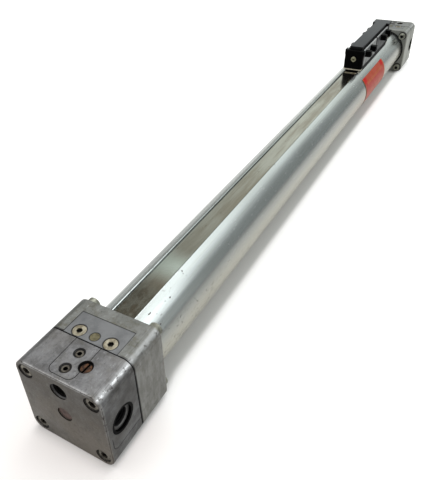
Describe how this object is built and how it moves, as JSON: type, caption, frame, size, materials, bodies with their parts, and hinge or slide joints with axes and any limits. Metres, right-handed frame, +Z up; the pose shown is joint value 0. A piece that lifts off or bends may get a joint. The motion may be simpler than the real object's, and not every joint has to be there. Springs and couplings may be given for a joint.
{
  "type": "rodless pneumatic cylinder",
  "caption": "Band-sealed rodless air cylinder: a slotted round barrel between square end castings carries a black slide on top, moved by a piston inside.",
  "frame": {"origin": "mid-length of the cylinder, on the plane that both end castings stand on", "axes": "+X along the cylinder from the near end to the far end, +Z up through the carriage"},
  "size_m": [0.9, 0.069, 0.095],
  "materials": {
    "barrel_aluminium": "satin anodised, scratched",
    "band_steel": "cold-rolled, streaked along its length",
    "label_foil": "red printed foil, faded",
    "cast_aluminium": "die-cast, worn",
    "gasket_fibre": "thin black gasket",
    "screw_steel": "dull steel",
    "clamp_zinc": "bluish grey, flat",
    "pale_steel": "pale plated steel",
    "aged_brass": "tarnished",
    "black_rubber": "matt",
    "piston_aluminium": "turned",
    "black_anodised": "black anodised",
    "cover_aluminium": "dark blue-grey anodised",
    "plain_aluminium": "milled",
    "guide_plastic": "acetal"
  },
  "bodies": {
    "cylinder": {"barrel": "barrel_aluminium", "outer_band": "band_steel", "inner_band": "band_steel", "type_label": "label_foil", "near_end_block": "cast_aluminium", "near_flange_block": "cast_aluminium", "near_joint_gasket": "gasket_fibre", "near_end_screws": "screw_steel", "near_flange_screws": "screw_steel", "near_passage_screws": "screw_steel", "near_band_clamp": "clamp_zinc", "near_band_clamp_screws": "pale_steel", "near_band_clamp_pin": "aged_brass", "near_end_plug": "aged_brass", "near_port_ring": "black_rubber", "near_barrel_ring": "black_rubber", "near_bore_seal": "black_rubber", "near_cushion_seal": "black_rubber", "far_end_block": "cast_aluminium", "far_flange_block": "cast_aluminium", "far_joint_gasket": "gasket_fibre", "far_end_screws": "screw_steel", "far_flange_screws": "screw_steel", "far_passage_screws": "screw_steel", "far_band_clamp": "clamp_zinc", "far_band_clamp_screws": "pale_steel", "far_band_clamp_pin": "aged_brass", "far_end_plug": "aged_brass", "far_port_ring": "black_rubber", "far_barrel_ring": "black_rubber", "far_bore_seal": "black_rubber", "far_cushion_seal": "black_rubber"},
    "carriage": {"piston_yoke": "piston_aluminium", "yoke_screws": "screw_steel", "carriage_body": "black_anodised", "carriage_cover": "cover_aluminium", "left_side_plates": "plain_aluminium", "right_side_plates": "plain_aluminium", "side_nuts": "black_anodised", "side_studs": "screw_steel", "side_seals": "black_rubber", "piston_seals": "black_rubber", "wear_rings": "guide_plastic", "wipers": "black_rubber", "end_plate_screws": "pale_steel", "near_piston": "piston_aluminium", "near_cushion_spigot": "screw_steel", "near_end_plate": "black_anodised", "near_wiper_strip": "pale_steel", "near_band_guide": "guide_plastic", "far_piston": "piston_aluminium", "far_cushion_spigot": "screw_steel", "far_end_plate": "black_anodised", "far_wiper_strip": "pale_steel", "far_band_guide": "guide_plastic"},
    "near_needle_ring": {"near_cushion_oring": "black_rubber"},
    "near_needle": {"near_cushion_screw": "aged_brass"},
    "far_needle_ring": {"far_cushion_oring": "black_rubber"},
    "far_needle": {"far_cushion_screw": "aged_brass"}
  },
  "joints": [
    {"name": "carriage_slide", "type": "slide", "parent": "cylinder", "child": "carriage", "axis": [1, 0, 0], "range_m": [-0.552, 0.048], "deforming": ["outer_band", "inner_band"]},
    {"name": "near_needle_lift", "type": "slide", "parent": "cylinder", "child": "near_needle_ring", "axis": [0, 0, 1], "range_m": [-0.0015, 0.00075]},
    {"name": "near_needle_turn", "type": "hinge", "parent": "near_needle_ring", "child": "near_needle", "pos_m": [-0.4338, -0.0108, 0.06], "axis": [0, 0, 1], "range_deg": [-720, 360]},
    {"name": "far_needle_lift", "type": "slide", "parent": "cylinder", "child": "far_needle_ring", "axis": [0, 0, 1], "range_m": [-0.0015, 0.00075]},
    {"name": "far_needle_turn", "type": "hinge", "parent": "far_needle_ring", "child": "far_needle", "pos_m": [0.4338, -0.0108, 0.06], "axis": [0, 0, 1], "range_deg": [-720, 360]}
  ],
  "couplings": [
    {"joint": "near_needle_turn", "follows": "near_needle_lift", "rad_per_m": 8377.5},
    {"joint": "far_needle_turn", "follows": "far_needle_lift", "rad_per_m": 8377.5}
  ]
}
